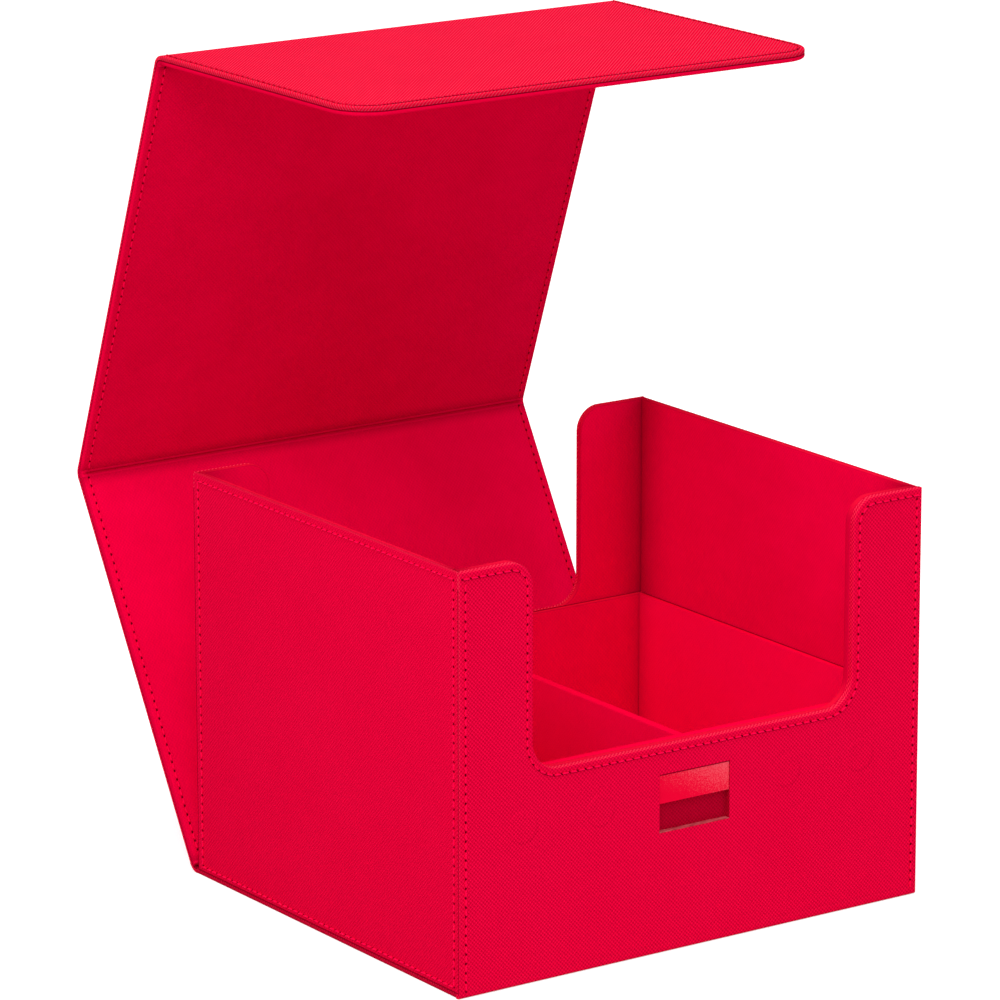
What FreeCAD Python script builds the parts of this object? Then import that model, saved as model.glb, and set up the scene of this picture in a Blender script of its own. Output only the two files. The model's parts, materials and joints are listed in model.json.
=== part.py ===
"""Two-row card deck box with a folding cover.

A stiff case stands on its bottom panel.  Its front and rear walls have a wide U-shaped cut-out
through which the cards are reached, and a low insert with a divider makes two rows of cards.
One strip of cover runs from the bottom panel up behind the case (back panel), over it (lid) and
down its front (flap).  Between two panels the strip is a soft web that folds along two creases.

Frame: millimetres, +X to the right, +Y to the rear, +Z up.  The origin is the middle of the
case's footprint.  The cover stands open: the back panel leans back, the lid stands above it and
the flap reaches forward.

Every panel is drawn flat in its own frame: x across it, y along it, z = 0 on its outer face and
z rising towards the inside of the box.  Its placement then stands it up.
"""
import FreeCAD, Part
import math
import os

import Sketcher
from FreeCAD import Placement, Rotation, Vector

SIZES = {
    # Case
    "case_width": 208.0,
    "case_depth": 174.5,
    "case_height": 157.5,
    # Layers: each wall is an outer layer, which is card in a wrapped skin, and a lining
    "skin_gauge": 0.5,
    "board_margin": 1.3,
    "side_outer": 1.5,
    "side_lining": 1.7,
    "front_outer": 2.6,
    "front_lining": 3.0,
    "rear_outer": 1.6,
    "rear_lining": 2.0,
    "bottom_outer": 3.3,
    "floor_lining": 1.5,
    "cover_outer": 1.8,
    "cover_lining": 1.7,
    "edge_round": 0.75,
    "seam_chamfer": 0.3,
    "bottom_round": 1.5,
    # Cut-outs in the front and rear walls
    "notch_half_width": 71.9,
    "notch_floor": 79.0,
    "notch_round": 11.4,
    "shoulder_round": 9.8,
    # Insert with the two rows
    "insert_height": 79.4,
    "insert_wall": 2.2,
    "divider_wall": 1.7,
    "divider_height": 78.6,
    "insert_clearance": 0.1,
    # Window and plate in the front wall
    "window_half_width": 15.9,
    "window_low": 45.9,
    "window_height": 22.0,
    "plate_height": 10.9,
    "plate_recess": 0.5,
    "plate_clearance": 0.1,
    # Magnets
    "magnet_radius": 6.0,
    "magnet_height": 59.4,
    "magnet_inner": 42.0,
    "magnet_outer": 76.1,
    "magnet_clearance": 0.1,
    # Folding cover
    "flap_length": 128.8,
    "flap_corner": 15.6,
    "fold_web": 5.0,
    "web_gauge": 1.0,
    "crease_depth": 0.5,
    "crease_gap": 0.4,
    "back_gap": 1.4,
    "lid_gap": 1.6,
    "flap_gap": 2.2,
    "back_angle": 60.0,
    "lid_angle": 110.0,
    "flap_angle": 180.0,
}

doc = FreeCAD.newDocument("card_deck_box")
dims = doc.addObject("Spreadsheet::Sheet", "dims")
for row, (alias, number) in enumerate(SIZES.items(), start=1):
    dims.set("A%d" % row, alias)
    dims.set("B%d" % row, str(number))
    dims.setAlias("B%d" % row, alias)
doc.recompute()


def size(alias):
    """The value of a driving dimension, as the sheet holds it."""
    return float(dims.get(alias))


# Formulas of the sheet's cells that several sub-parts share.
HALF_WIDTH = "dims.case_width / 2"
COVER = "(dims.cover_outer + dims.cover_lining)"
SIDE = "(dims.side_outer + dims.side_lining)"
FRONT = "(dims.front_outer + dims.front_lining)"
REAR = "(dims.rear_outer + dims.rear_lining)"
WEB_LEG = "dims.fold_web * sqrt(0.5)"
CREASE_INSET = "(%s - dims.crease_depth)" % COVER
BOTTOM_LENGTH = "dims.case_depth - dims.front_outer + dims.back_gap + %s - %s" % (
    CREASE_INSET, WEB_LEG)
BACK_LENGTH = "dims.case_height + dims.lid_gap + %s - dims.crease_depth - 2 * %s" % (
    CREASE_INSET, WEB_LEG)
LID_LENGTH = "dims.case_depth + dims.back_gap + dims.flap_gap + 2 * %s - 2 * %s" % (
    CREASE_INSET, WEB_LEG)


# ---------------------------------------------------------------- drawing helpers

def origin_plane(body):
    """The body's own XY plane."""
    return [plane for plane in body.Origin.OriginFeatures if plane.Role == "XY_Plane"][0]


def new_body(name):
    """An empty body whose label is the node's name."""
    body = doc.addObject("PartDesign::Body", name)
    body.Label = name
    return body


def new_sketch(body, name, height):
    """An empty sketch parallel to the body's XY plane, at a height given as a formula."""
    sketch = body.newObject("Sketcher::SketchObject", name)
    sketch.AttachmentSupport = [(origin_plane(body), "")]
    sketch.MapMode = "FlatFace"
    sketch.setExpression("AttachmentOffset.Base.z", height)
    return sketch


def bind(sketch, kind, where, name, start, formula):
    """A named constraint whose value follows a formula of the sheet."""
    index = sketch.addConstraint(Sketcher.Constraint(kind, *where, start))
    sketch.renameConstraint(index, name)
    sketch.setExpression("Constraints." + name, formula)


def draw_polygon(sketch, corners):
    """A closed outline through corners, each given as formulas for x and y."""
    count = len(corners)
    spots = [Vector(math.cos(math.tau * k / count), math.sin(math.tau * k / count), 0)
             for k in range(count)]
    for k in range(count):
        sketch.addGeometry(Part.LineSegment(spots[k], spots[(k + 1) % count]), False)
    for k in range(count):
        sketch.addConstraint(Sketcher.Constraint("Coincident", k, 2, (k + 1) % count, 1))
    for k, (x, y) in enumerate(corners):
        bind(sketch, "DistanceX", (-1, 1, k, 1), "x%d" % k, spots[k].x, x)
        bind(sketch, "DistanceY", (-1, 1, k, 1), "y%d" % k, spots[k].y, y)


def draw_circles(sketch, centres, radius):
    """Equal circles, each centre given as formulas for x and y."""
    for k, (x, y) in enumerate(centres):
        spot = Vector(3.0 * k - 4.0, 2.0, 0)
        sketch.addGeometry(Part.Circle(spot, Vector(0, 0, 1), 1.0), False)
        bind(sketch, "DistanceX", (-1, 1, k, 3), "x%d" % k, spot.x, x)
        bind(sketch, "DistanceY", (-1, 1, k, 3), "y%d" % k, spot.y, y)
        bind(sketch, "Radius", (k,), "radius%d" % k, 1.0, radius)


def pad(body, sketch, length):
    """The sketch raised towards the inside of the box."""
    feature = body.newObject("PartDesign::Pad", sketch.Name + "_pad")
    feature.Profile = sketch
    feature.setExpression("Length", length)
    doc.recompute()
    return feature


def pocket(body, sketch, depth=None):
    """The sketch cut towards the outer face, to a depth or right through; the body must get
    lighter."""
    before = body.Shape.Volume
    feature = body.newObject("PartDesign::Pocket", sketch.Name + "_pocket")
    feature.Profile = sketch
    if depth is None:
        feature.Type = "ThroughAll"
    else:
        feature.setExpression("Length", depth)
    doc.recompute()
    if not body.Shape.Volume < before:
        raise RuntimeError(sketch.Name + " cuts nothing")
    return feature


def names_of(body, wanted):
    """The names of the body's edges that a test accepts."""
    return ["Edge%d" % (k + 1) for k, edge in enumerate(body.Shape.Edges) if wanted(edge.BoundBox)]


def fillet(body, name, edges, radius):
    """Rounds the named edges of the body's latest feature."""
    latest = body.Tip
    feature = body.newObject("PartDesign::Fillet", name)
    feature.Base = (latest, edges)
    feature.setExpression("Radius", radius)
    doc.recompute()
    return feature


def round_corners(body, name, spots, top, radius):
    """Rounds the upright edges that stand at the spots and reach the height top."""
    def wanted(box):
        upright = box.XLength < 1e-3 and box.YLength < 1e-3 and abs(box.ZMax - top) < 1e-3
        return upright and any(
            abs(box.XMin - x) < 1e-3 and abs(box.YMin - y) < 1e-3 for x, y in spots)

    fillet(body, name, names_of(body, wanted), radius)


def chamfer(body, name, edges, width):
    """Bevels the named edges of the body's latest feature."""
    latest = body.Tip
    feature = body.newObject("PartDesign::Chamfer", name)
    feature.Base = (latest, edges)
    feature.setExpression("Size", width)
    doc.recompute()
    return feature


def rims(body, z, keep_square):
    """The edges round the body's flat face at the height z, but not those of a recess in it.

    Left out is what runs across the face at an end kept square, or where that end's own round
    begins."""
    reach = size("bottom_round")
    face = [item for item in body.Shape.Faces
            if item.BoundBox.ZLength < 1e-3 and abs(item.BoundBox.ZMin - z) < 1e-3][0]

    def at_end(box):
        return box.YLength < 1e-3 and any(abs(box.YMin - y) < reach for y in keep_square)

    outline = [edge for edge in face.OuterWire.Edges if not at_end(edge.BoundBox)]
    return ["Edge%d" % (k + 1) for k, edge in enumerate(body.Shape.Edges)
            if any(edge.isSame(rim) for rim in outline)]


def ease_rims(body, shown, seam, layer, keep_square=()):
    """Rounds the rims of the face that shows, and bevels a little those on the seam.

    shown and seam are the heights of the two faces, layer the formula of the thickness."""
    name = body.Label
    chamfer(body, name + "_seam_bevel", rims(body, seam, keep_square),
            "min(dims.seam_chamfer; 0.2 * (%s))" % layer)
    fillet(body, name + "_rims", rims(body, shown, keep_square), rounding(layer))


def round_foot(body, name, radius):
    """Rounds the near end's edge on the outer face."""
    near = body.Shape.BoundBox.YMin

    def wanted(box):
        return box.YLength < 1e-3 and box.ZLength < 1e-3 and (
            abs(box.YMin - near) < 1e-3 and abs(box.ZMin) < 1e-3)

    fillet(body, name, names_of(body, wanted), radius)


# ---------------------------------------------------------------- panels

class Outline:
    """A panel's flat shape, in formulas: half width, near and far end, and what it has of a
    U-shaped cut-out in its far end or of round far corners."""

    def __init__(self, half, low, high, notched=False, corner=None, grown="0"):
        self.half = half
        self.low = low
        self.high = high
        self.notched = notched
        self.corner = corner
        self.grown = grown

    def inset(self, margin):
        """The same shape, smaller by a margin all round."""
        return Outline("%s - %s" % (self.half, margin), "%s + %s" % (self.low, margin),
                       "%s - %s" % (self.high, margin), self.notched, self.corner, margin)

    def corners(self):
        """The corners in order, as formulas."""
        low_pair = [("-(%s)" % self.half, self.low), (self.half, self.low)]
        if not self.notched:
            return low_pair + [(self.half, self.high), ("-(%s)" % self.half, self.high)]
        notch = "dims.notch_half_width + %s" % self.grown
        floor = "dims.notch_floor - %s" % self.grown
        return low_pair + [
            (self.half, self.high), (notch, self.high), (notch, floor),
            ("-(%s)" % notch, floor), ("-(%s)" % notch, self.high),
            ("-(%s)" % self.half, self.high)]

    def soften(self, body, sketch, top):
        """Rounds the corners that the real panel has round, up to the height top."""
        def spots(first):
            x = sketch.getDatum("x%d" % first).Value
            y = sketch.getDatum("y%d" % first).Value
            return [(x, y), (-x, y)]

        if self.notched:
            round_corners(body, sketch.Name + "_floor_round", spots(4), top,
                          "dims.notch_round + %s" % self.grown)
            round_corners(body, sketch.Name + "_shoulder_round", spots(3), top,
                          "dims.shoulder_round - %s" % self.grown)
        if self.corner:
            round_corners(body, sketch.Name + "_corner_round", spots(2), top,
                          "%s - %s" % (self.corner, self.grown))


def blank(name, outline, bottom, top):
    """A body of the outline, with square corners, from the height bottom to the height top."""
    body = new_body(name)
    sketch = new_sketch(body, name + "_outline", bottom)
    draw_polygon(sketch, outline.corners())
    pad(body, sketch, "%s - (%s)" % (top, bottom))
    return body, sketch


def plate(name, outline, bottom, top):
    """A body of the outline that fills the heights from bottom to top."""
    body, sketch = blank(name, outline, bottom, top)
    outline.soften(body, sketch, body.Shape.BoundBox.ZMax)
    return body


def square_ends(body, keep_square):
    """The y of each end, low or high, that stays square."""
    box = body.Shape.BoundBox
    return [box.YMin if end == "low" else box.YMax for end in keep_square]


def rounding(layer):
    """The formula of an edge round that leaves a little of the layer's edge flat."""
    return "min(dims.edge_round; 0.45 * (%s))" % layer


def layered_panel(name, outline, outer, lining, lining_outline=None, keep_square=(),
                  foot_round=None):
    """A skin wrapped round a board, and the lining that closes it: three bodies in one frame.

    outer and lining are the formulas of the two layers' thicknesses.  The ends named in
    keep_square keep their edges, and foot_round rounds the near end's outer edge."""
    skin, sketch = blank(name + "_skin", outline, "0", outer)
    square = square_ends(skin, keep_square)
    top = skin.Shape.BoundBox.ZMax
    within = outline.inset("dims.board_margin")
    recess = new_sketch(skin, name + "_recess", outer)
    draw_polygon(recess, within.corners())
    pocket(skin, recess, "%s - dims.skin_gauge" % outer)
    within.soften(skin, recess, top)
    outline.soften(skin, sketch, top)
    if foot_round:
        round_foot(skin, name + "_foot_round", foot_round)
    ease_rims(skin, 0, top, outer, square)

    board = plate(name + "_board", within, "dims.skin_gauge", outer)

    cover = plate(name + "_lining", lining_outline or outline, outer, "%s + %s" % (outer, lining))
    box = cover.Shape.BoundBox
    ease_rims(cover, box.ZMax, box.ZMin, lining, square_ends(cover, keep_square))
    return skin, board, cover


def stand(bodies, position, yaw):
    """Stands flat bodies up with their outer faces away from the box, turned by yaw about Z."""
    turn = Rotation(Vector(0, 0, 1), yaw) * Rotation(Vector(1, 0, 0), 90)
    for body in bodies:
        body.Placement = Placement(position, turn)


# ---------------------------------------------------------------- case

def magnet_centres(height):
    """Two magnets each side of the middle, at a height given as a formula."""
    return [(sign + "dims." + reach, height)
            for sign in ("-", "") for reach in ("magnet_outer", "magnet_inner")]


def drill(body, name, height, top):
    """Magnet holes right through the body, drawn at the height top."""
    holes = new_sketch(body, name, top)
    draw_circles(holes, magnet_centres(height), "dims.magnet_radius + dims.magnet_clearance")
    pocket(body, holes)


def magnets(name, height, bottom, top):
    """Four equal discs in one node."""
    body = new_body(name)
    body.AllowCompound = True
    sketch = new_sketch(body, name + "_discs", bottom)
    draw_circles(sketch, magnet_centres(height), "dims.magnet_radius")
    pad(body, sketch, "%s - %s" % (top, bottom))
    return body


def cut_window(body, name, top):
    """The window in the front wall, cut right through the body from the height top."""
    sketch = new_sketch(body, name, top)
    half = "dims.window_half_width"
    sill = "dims.window_low"
    head = "dims.window_low + dims.window_height"
    draw_polygon(sketch, [("-" + half, sill), (half, sill), (half, head), ("-" + half, head)])
    pocket(body, sketch)


def build_front():
    """The front wall: it covers the front edges of the bottom and of the sides."""
    outer = "dims.front_outer"
    outline = Outline(HALF_WIDTH, "0", "dims.case_height", notched=True)
    inner = Outline("%s - dims.side_outer" % HALF_WIDTH, "dims.bottom_outer", "dims.case_height",
                    notched=True)
    skin, board, lining = layered_panel(
        "front", outline, outer, "dims.front_lining", inner, keep_square=("low",),
        foot_round="min(dims.bottom_round; 0.55 * %s)" % outer)
    for body, name in ((skin, "front_skin_window"), (board, "front_board_window")):
        cut_window(body, name, outer)
    drill(board, "front_board_holes", "dims.magnet_height", outer)
    discs = magnets("front_magnets", "dims.magnet_height", "dims.skin_gauge", outer)

    head = "dims.window_low + dims.window_height - dims.plate_clearance"
    half = "dims.window_half_width - dims.plate_clearance"
    nameplate = plate("nameplate", Outline(half, "%s - dims.plate_height" % head, head),
                      "dims.plate_recess", outer)
    position = Vector(0, -size("case_depth") / 2, 0)
    stand([skin, board, lining, discs, nameplate], position, 180)


def build_rear():
    """The rear wall stands on the bottom panel and covers the rear edges of the sides."""
    outline = Outline(HALF_WIDTH, "dims.bottom_outer", "dims.case_height", notched=True)
    inner = Outline("%s - dims.side_outer" % HALF_WIDTH, "dims.bottom_outer", "dims.case_height",
                    notched=True)
    panels = layered_panel("rear", outline, "dims.rear_outer", "dims.rear_lining", inner)
    stand(panels, Vector(0, size("case_depth") / 2, 0), 0)


def build_sides():
    """The two side walls, between the front and the rear."""
    middle = (size("front_outer") - size("rear_outer")) / 2
    lining_shift = (size("front_lining") - size("rear_lining")) / 2
    half = "(dims.case_depth - dims.front_outer - dims.rear_outer) / 2"
    lining_half = "(dims.case_depth - %s - %s) / 2" % (FRONT, REAR)
    for name, side in (("left", -1), ("right", 1)):
        outline = Outline(half, "dims.bottom_outer", "dims.case_height")
        inner = Outline(lining_half, "dims.bottom_outer", "dims.case_height")
        skin, board, lining = layered_panel(name, outline, "dims.side_outer", "dims.side_lining",
                                            inner)
        face = side * size("case_width") / 2
        stand([skin, board], Vector(face, middle, 0), -90 * side)
        stand([lining], Vector(face, middle + lining_shift, 0), -90 * side)


def build_bottom():
    """The bottom panel, which the case stands on and which carries the cover's first crease."""
    outline = Outline(HALF_WIDTH, "0", "%s - dims.crease_gap" % BOTTOM_LENGTH)
    floor_half = "%s - %s" % (HALF_WIDTH, SIDE)
    floor = Outline(floor_half, "dims.front_lining",
                    "dims.case_depth - dims.front_outer - %s" % REAR)
    skin, board, lining = layered_panel("bottom", outline, "dims.bottom_outer",
                                        "dims.floor_lining", floor, keep_square=("low", "high"))
    lining.Label = "floor_lining"
    position = Vector(0, size("front_outer") - size("case_depth") / 2, 0)
    for body in (skin, board, lining):
        body.Placement = Placement(position, Rotation())


def build_insert():
    """The low insert that makes the two rows: four walls and a double divider."""
    wall = "dims.insert_wall"
    gap = "dims.insert_clearance"
    floor = "dims.bottom_outer + dims.floor_lining"
    top = "dims.insert_height"
    rims = rounding(wall)
    across = Outline("%s - %s - %s" % (HALF_WIDTH, SIDE, gap), floor, top)
    along = "(dims.case_depth - %s - %s) / 2 - %s - %s" % (FRONT, REAR, wall, gap)
    middle = (size("front_outer") + size("front_lining")
              - size("rear_outer") - size("rear_lining")) / 2
    half_depth = size("case_depth") / 2
    front_face = size("front_outer") + size("front_lining") + size("insert_clearance")
    rear_face = size("rear_outer") + size("rear_lining") + size("insert_clearance")
    side_face = (size("case_width") / 2 - size("side_outer") - size("side_lining")
                 - size("insert_clearance"))
    walls = (
        ("insert_front", across, wall, Vector(0, front_face - half_depth, 0), 180),
        ("insert_rear", across, wall, Vector(0, half_depth - rear_face, 0), 0),
        ("insert_left", Outline(along, floor, top), wall, Vector(-side_face, middle, 0), 90),
        ("insert_right", Outline(along, floor, top), wall, Vector(side_face, middle, 0), -90),
        ("divider_left", Outline(along, floor, "dims.divider_height"), "dims.divider_wall",
         Vector(0, middle, 0), -90),
        ("divider_right", Outline(along, floor, "dims.divider_height"), "dims.divider_wall",
         Vector(0, middle, 0), 90),
    )
    for name, outline, thickness, position, yaw in walls:
        body = plate(name, outline, "0", thickness)
        box = body.Shape.BoundBox

        def top_rim(edge, box=box):
            return (edge.YLength < 1e-3 and edge.ZLength < 1e-3
                    and abs(edge.YMin - box.YMax) < 1e-3)

        fillet(body, name + "_top_round", names_of(body, top_rim), rims)
        stand([body], position, yaw)


# ---------------------------------------------------------------- folding cover

def along_cover(rise):
    """The direction along the cover where it rises by an angle from the floor behind the box."""
    angle = math.radians(rise)
    return Vector(0, math.cos(angle), math.sin(angle))


def lay(bodies, crease, rise):
    """Places flat cover bodies with their near crease on a line across the box."""
    inward = along_cover(rise + 90)
    turn = Rotation(Vector(1, 0, 0), rise)
    for body in bodies:
        body.Placement = Placement(crease - inward * size("crease_depth"), turn)


def build_web(name, crease, rise):
    """The soft strip between two creases; returns where its far crease lies."""
    outline = Outline(HALF_WIDTH, "dims.crease_gap", "dims.fold_web - dims.crease_gap")
    body = plate(name, outline, "0", "dims.web_gauge")
    lay([body], crease, rise)
    return crease + along_cover(rise) * size("fold_web")


def build_cover_panel(name, length, crease, rise):
    """A stiff panel between two creases; returns where its far crease lies."""
    outline = Outline(HALF_WIDTH, "dims.crease_gap", "%s - dims.crease_gap" % length)
    bodies = layered_panel(name, outline, "dims.cover_outer", "dims.cover_lining",
                           keep_square=("low", "high"))
    lay(bodies, crease, rise)
    far_end = doc.getObject(name + "_skin_outline").getDatum("y2").Value
    return crease + along_cover(rise) * (far_end + size("crease_gap"))


def build_cover():
    """Web, back panel, web, lid, web and flap, each from where the last one ends."""
    rises = [0.0, size("back_angle"), size("lid_angle"), size("flap_angle")]
    halfway = [(here + there) / 2 for here, there in zip(rises, rises[1:])]
    leg = size("fold_web") * math.sqrt(0.5)
    thickness = size("cover_outer") + size("cover_lining")
    crease = Vector(0, size("case_depth") / 2 + size("back_gap") + thickness
                    - size("crease_depth") - leg, size("crease_depth"))

    for web, turn, name, rise, length in (
            ("rear_fold", halfway[0], "back", rises[1], BACK_LENGTH),
            ("lid_fold", halfway[1], "lid", rises[2], LID_LENGTH)):
        crease = build_web(web, crease, turn)
        crease = build_cover_panel(name, length, crease, rise)

    crease = build_web("flap_fold", crease, halfway[2])
    build_flap(crease, rises[3])


def build_flap(crease, rise):
    """The flap, with round free corners and magnets that meet the front wall's when it is shut."""
    outline = Outline(HALF_WIDTH, "dims.crease_gap", "dims.flap_length",
                      corner="dims.flap_corner")
    skin, board, lining = layered_panel("flap", outline, "dims.cover_outer",
                                        "dims.cover_lining", keep_square=("low",))
    reach = "dims.case_height + dims.lid_gap + %s - %s - dims.magnet_height" % (
        CREASE_INSET, WEB_LEG)
    drill(board, "flap_board_holes", reach, "dims.cover_outer")
    discs = magnets("flap_magnets", reach, "dims.skin_gauge", "dims.cover_outer")
    lay([skin, board, lining, discs], crease, rise)


# ---------------------------------------------------------------- build, check and write

build_bottom()
build_front()
build_rear()
build_sides()
build_insert()
build_cover()
doc.recompute()

for item in doc.Objects:
    if "Invalid" in item.State or "Error" in item.State:
        raise RuntimeError("%s failed: %s" % (item.Label, item.State))

nodes = [item for item in doc.Objects if item.TypeId == "PartDesign::Body"]
for node in nodes:
    if node.Shape.isNull() or not node.Shape.isValid():
        raise RuntimeError(node.Label + " has no valid shape")

os.makedirs("parts", exist_ok=True)
for node in nodes:
    node.Shape.exportStep(os.path.join("parts", node.Label + ".step"))
print(len(nodes), "nodes written")
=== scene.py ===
"""The looks of the card deck box: leatherette panels with rolled, sewn edges, suede linings, soft
folds, the metal plate in its window, and the studio round it."""

import json
import math

import bmesh
import bpy
import numpy as np
from mathutils import Matrix, Vector


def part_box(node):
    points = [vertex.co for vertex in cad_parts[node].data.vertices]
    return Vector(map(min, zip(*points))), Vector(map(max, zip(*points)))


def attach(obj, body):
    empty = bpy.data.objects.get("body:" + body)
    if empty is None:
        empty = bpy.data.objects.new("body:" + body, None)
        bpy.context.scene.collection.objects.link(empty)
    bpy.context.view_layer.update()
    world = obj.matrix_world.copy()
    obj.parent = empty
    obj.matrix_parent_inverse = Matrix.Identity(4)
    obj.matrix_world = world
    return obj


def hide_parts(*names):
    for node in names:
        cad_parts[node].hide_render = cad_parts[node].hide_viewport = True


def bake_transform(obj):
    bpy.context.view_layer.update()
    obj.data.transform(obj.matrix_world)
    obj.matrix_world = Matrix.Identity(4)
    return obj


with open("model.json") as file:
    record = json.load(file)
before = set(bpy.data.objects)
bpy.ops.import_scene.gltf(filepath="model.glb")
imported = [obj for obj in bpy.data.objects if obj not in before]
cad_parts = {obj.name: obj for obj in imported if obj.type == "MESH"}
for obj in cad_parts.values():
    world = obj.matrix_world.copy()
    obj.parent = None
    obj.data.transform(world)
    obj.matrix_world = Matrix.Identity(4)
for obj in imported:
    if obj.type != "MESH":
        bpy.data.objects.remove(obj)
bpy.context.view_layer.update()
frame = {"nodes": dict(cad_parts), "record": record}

MM = 0.001

# ---- sizes of the real thing, metres

ROLL = 0.7 * MM             # rolled outer edge of a leatherette panel
TUCK = 0.3 * MM             # edge where skin and lining meet
LINING_ROLL = 0.7 * MM
SKIN = 0.5 * MM
BOARD_MARGIN = 1.3 * MM
FOOT_ROLL = 1.4 * MM        # front wall's edge on the ground
RUN_OFF = 12 * MM           # spare length that is trimmed off at a fold

NOTCH_HALF = 71.9 * MM
NOTCH_FLOOR = 79.0 * MM
NOTCH_ROUND = 11.4 * MM
SHOULDER_ROUND = 9.8 * MM
FLAP_CORNER = 15.6 * MM

WEB = 5.0 * MM              # soft strip between two panels
CREASE_DEPTH = 0.5 * MM
FOLD_STEPS = 8
CREASE_END = 101.0 * MM     # the pressed crease stops this far out, short of the rolled rims

EMBOSS = 1.572 * MM         # one diamond of the leatherette
SIDE_STRETCH = 1.027        # the sides' skin is stretched a little less
COVERING = 0.75 * MM        # a side wall's skin stops this far behind the front and rear faces
BASE_EDGE = 2.1 * MM        # how much of the bottom panel's edge shows below the walls
TUCKED = 0.2 * MM           # how far the skins behind the sides' skins stay back
STITCH = 3.5 * MM
GROOVE = 0.45 * MM
GROOVE_DEPTH = 0.14 * MM

MAGNET_RADIUS = 6.0 * MM
MAGNET_SPOTS = (42.0 * MM, 76.1 * MM)
MAGNET_HEIGHT = 59.4 * MM
MAGNET_EDGE = 0.5 * MM      # half the width of the soft edge round a magnet

WALL_CORNER = 20 * MM       # how far painted corner shade reaches into a lining: the case's walls, the insert's, and the cover's panels at their folds
INSERT_CORNER = 12 * MM     # the insert's,
COVER_CORNER = 4.5 * MM     # and the cover's panels at their folds
EDGE_HIGHLIGHT = 0.12            # painted highlight of a rim that looks sideways, as a share of one that looks up
SMOOTH_ANGLE = 35           # degrees; sharper edges stay sharp
ARC_STEP = 0.5 * MM
SEAM_START = 0.5 * MM       # a cover seam begins this far from its crease


# ---- places

def wall_place(face, yaw):
    """A wall's own frame: x across it, y up, z from its outer face inwards."""
    return (Matrix.Translation(face) @ Matrix.Rotation(math.radians(yaw), 4, "Z")
            @ Matrix.Rotation(math.radians(90), 4, "X"))


def crease(joint):
    """Where a joint's axis crosses the middle plane of the box."""
    row = [j for j in frame["record"]["behaviour"]["joints"] if j["name"] == joint][0]
    return Vector(row["pos_m"])


def cover_place(near, far):
    """A cover panel's frame at its near crease: y towards the far crease, z inwards."""
    run = far - near
    rise = math.atan2(run.z, run.y)
    turn = Matrix.Rotation(rise, 4, "X")
    inward = turn @ Vector((0, 0, 1))
    return Matrix.Translation(near - inward * CREASE_DEPTH) @ turn


def local_box(node, place):
    """A CAD node's lowest and highest corners in a panel's own frame."""
    inverse = place.inverted()
    corners = [inverse @ vertex.co for vertex in frame["nodes"][node].data.vertices]
    return (Vector([min(c[i] for c in corners) for i in range(3)]),
            Vector([max(c[i] for c in corners) for i in range(3)]))


CREASES = {name: crease(name) for name in (
    "rear_crease_low", "rear_crease_high", "lid_crease_rear", "lid_crease_front",
    "flap_crease_rear", "flap_crease_front")}

front_low, front_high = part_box("front_skin")
rear_low, rear_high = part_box("rear_skin")
left_low, left_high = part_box("left_skin")
right_low, right_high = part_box("right_skin")
HALF_WIDTH = front_high.x
CASE_HEIGHT = front_high.z

flap_near = CREASES["flap_crease_front"]
PLACES = {
    "bottom": Matrix.Translation((0, front_high.y, 0)),
    "front": wall_place((0, front_low.y, 0), 180),
    "rear": wall_place((0, rear_high.y, 0), 0),
    "left": wall_place((left_low.x, (left_low.y + left_high.y) / 2, 0), 90),
    "right": wall_place((right_high.x, (right_low.y + right_high.y) / 2, 0), -90),
    "back": cover_place(CREASES["rear_crease_high"], CREASES["lid_crease_rear"]),
    "lid": cover_place(CREASES["lid_crease_front"], CREASES["flap_crease_rear"]),
    "flap": cover_place(flap_near, flap_near - Vector((0, 1, 0))),
}


# ---- mesh helpers

def deselect():
    bpy.ops.object.select_all(action="DESELECT")


def mode(name):
    bpy.ops.object.mode_set(mode=name)


def pick(piece):
    """Makes a piece the active one and the only one selected."""
    deselect()
    bpy.context.view_layer.objects.active = piece
    piece.select_set(True)


def fresh(name):
    """The object that was just added, under its own name."""
    piece = bpy.context.object
    piece.name = name
    piece.data.name = name
    return piece


def settle():
    """Applies the object's place, turn and size to its mesh."""
    bpy.ops.object.transform_apply(location=True, rotation=True, scale=True)


def select_all():
    bpy.ops.mesh.select_all(action="SELECT")


def face_outwards():
    select_all()
    bpy.ops.mesh.normals_make_consistent(inside=False)


def split(spot, normal, **settings):
    """Cuts the whole mesh along a plane."""
    select_all()
    bpy.ops.mesh.bisect(plane_co=spot, plane_no=normal, **settings)


def bevel(offset, steps, kind="EDGES"):
    """Rounds the selected edges or vertices."""
    bpy.ops.mesh.bevel(offset=offset, segments=steps, profile=0.5, affect=kind)


def extrude(z):
    bpy.ops.mesh.extrude_region_move(TRANSFORM_OT_translate={"value": (0, 0, z)})


def choose(piece, kind, test):
    """Selects, in edit mode, only the vertices, edges or faces that pass a test."""
    bpy.context.tool_settings.mesh_select_mode = (kind == "verts", kind == "edges",
                                                  kind == "faces")
    bpy.ops.mesh.select_all(action="DESELECT")
    mesh = bmesh.from_edit_mesh(piece.data)
    for item in getattr(mesh, kind):
        if test(item):
            item.select_set(True)
    mesh.select_flush_mode()
    bmesh.update_edit_mesh(piece.data)


def near(a, b, slack=1e-6):
    return abs(a - b) < slack


def plane_outline(name, low, high):
    """A flat face between two corners, in edit mode."""
    deselect()
    middle = ((low[0] + high[0]) / 2, (low[1] + high[1]) / 2, 0)
    bpy.ops.mesh.primitive_plane_add(size=1, location=middle)
    piece = fresh(name)
    mode("EDIT")
    bpy.ops.transform.resize(value=(high[0] - low[0], high[1] - low[1], 1))
    mode("OBJECT")
    settle()
    mode("EDIT")
    return piece


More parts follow.
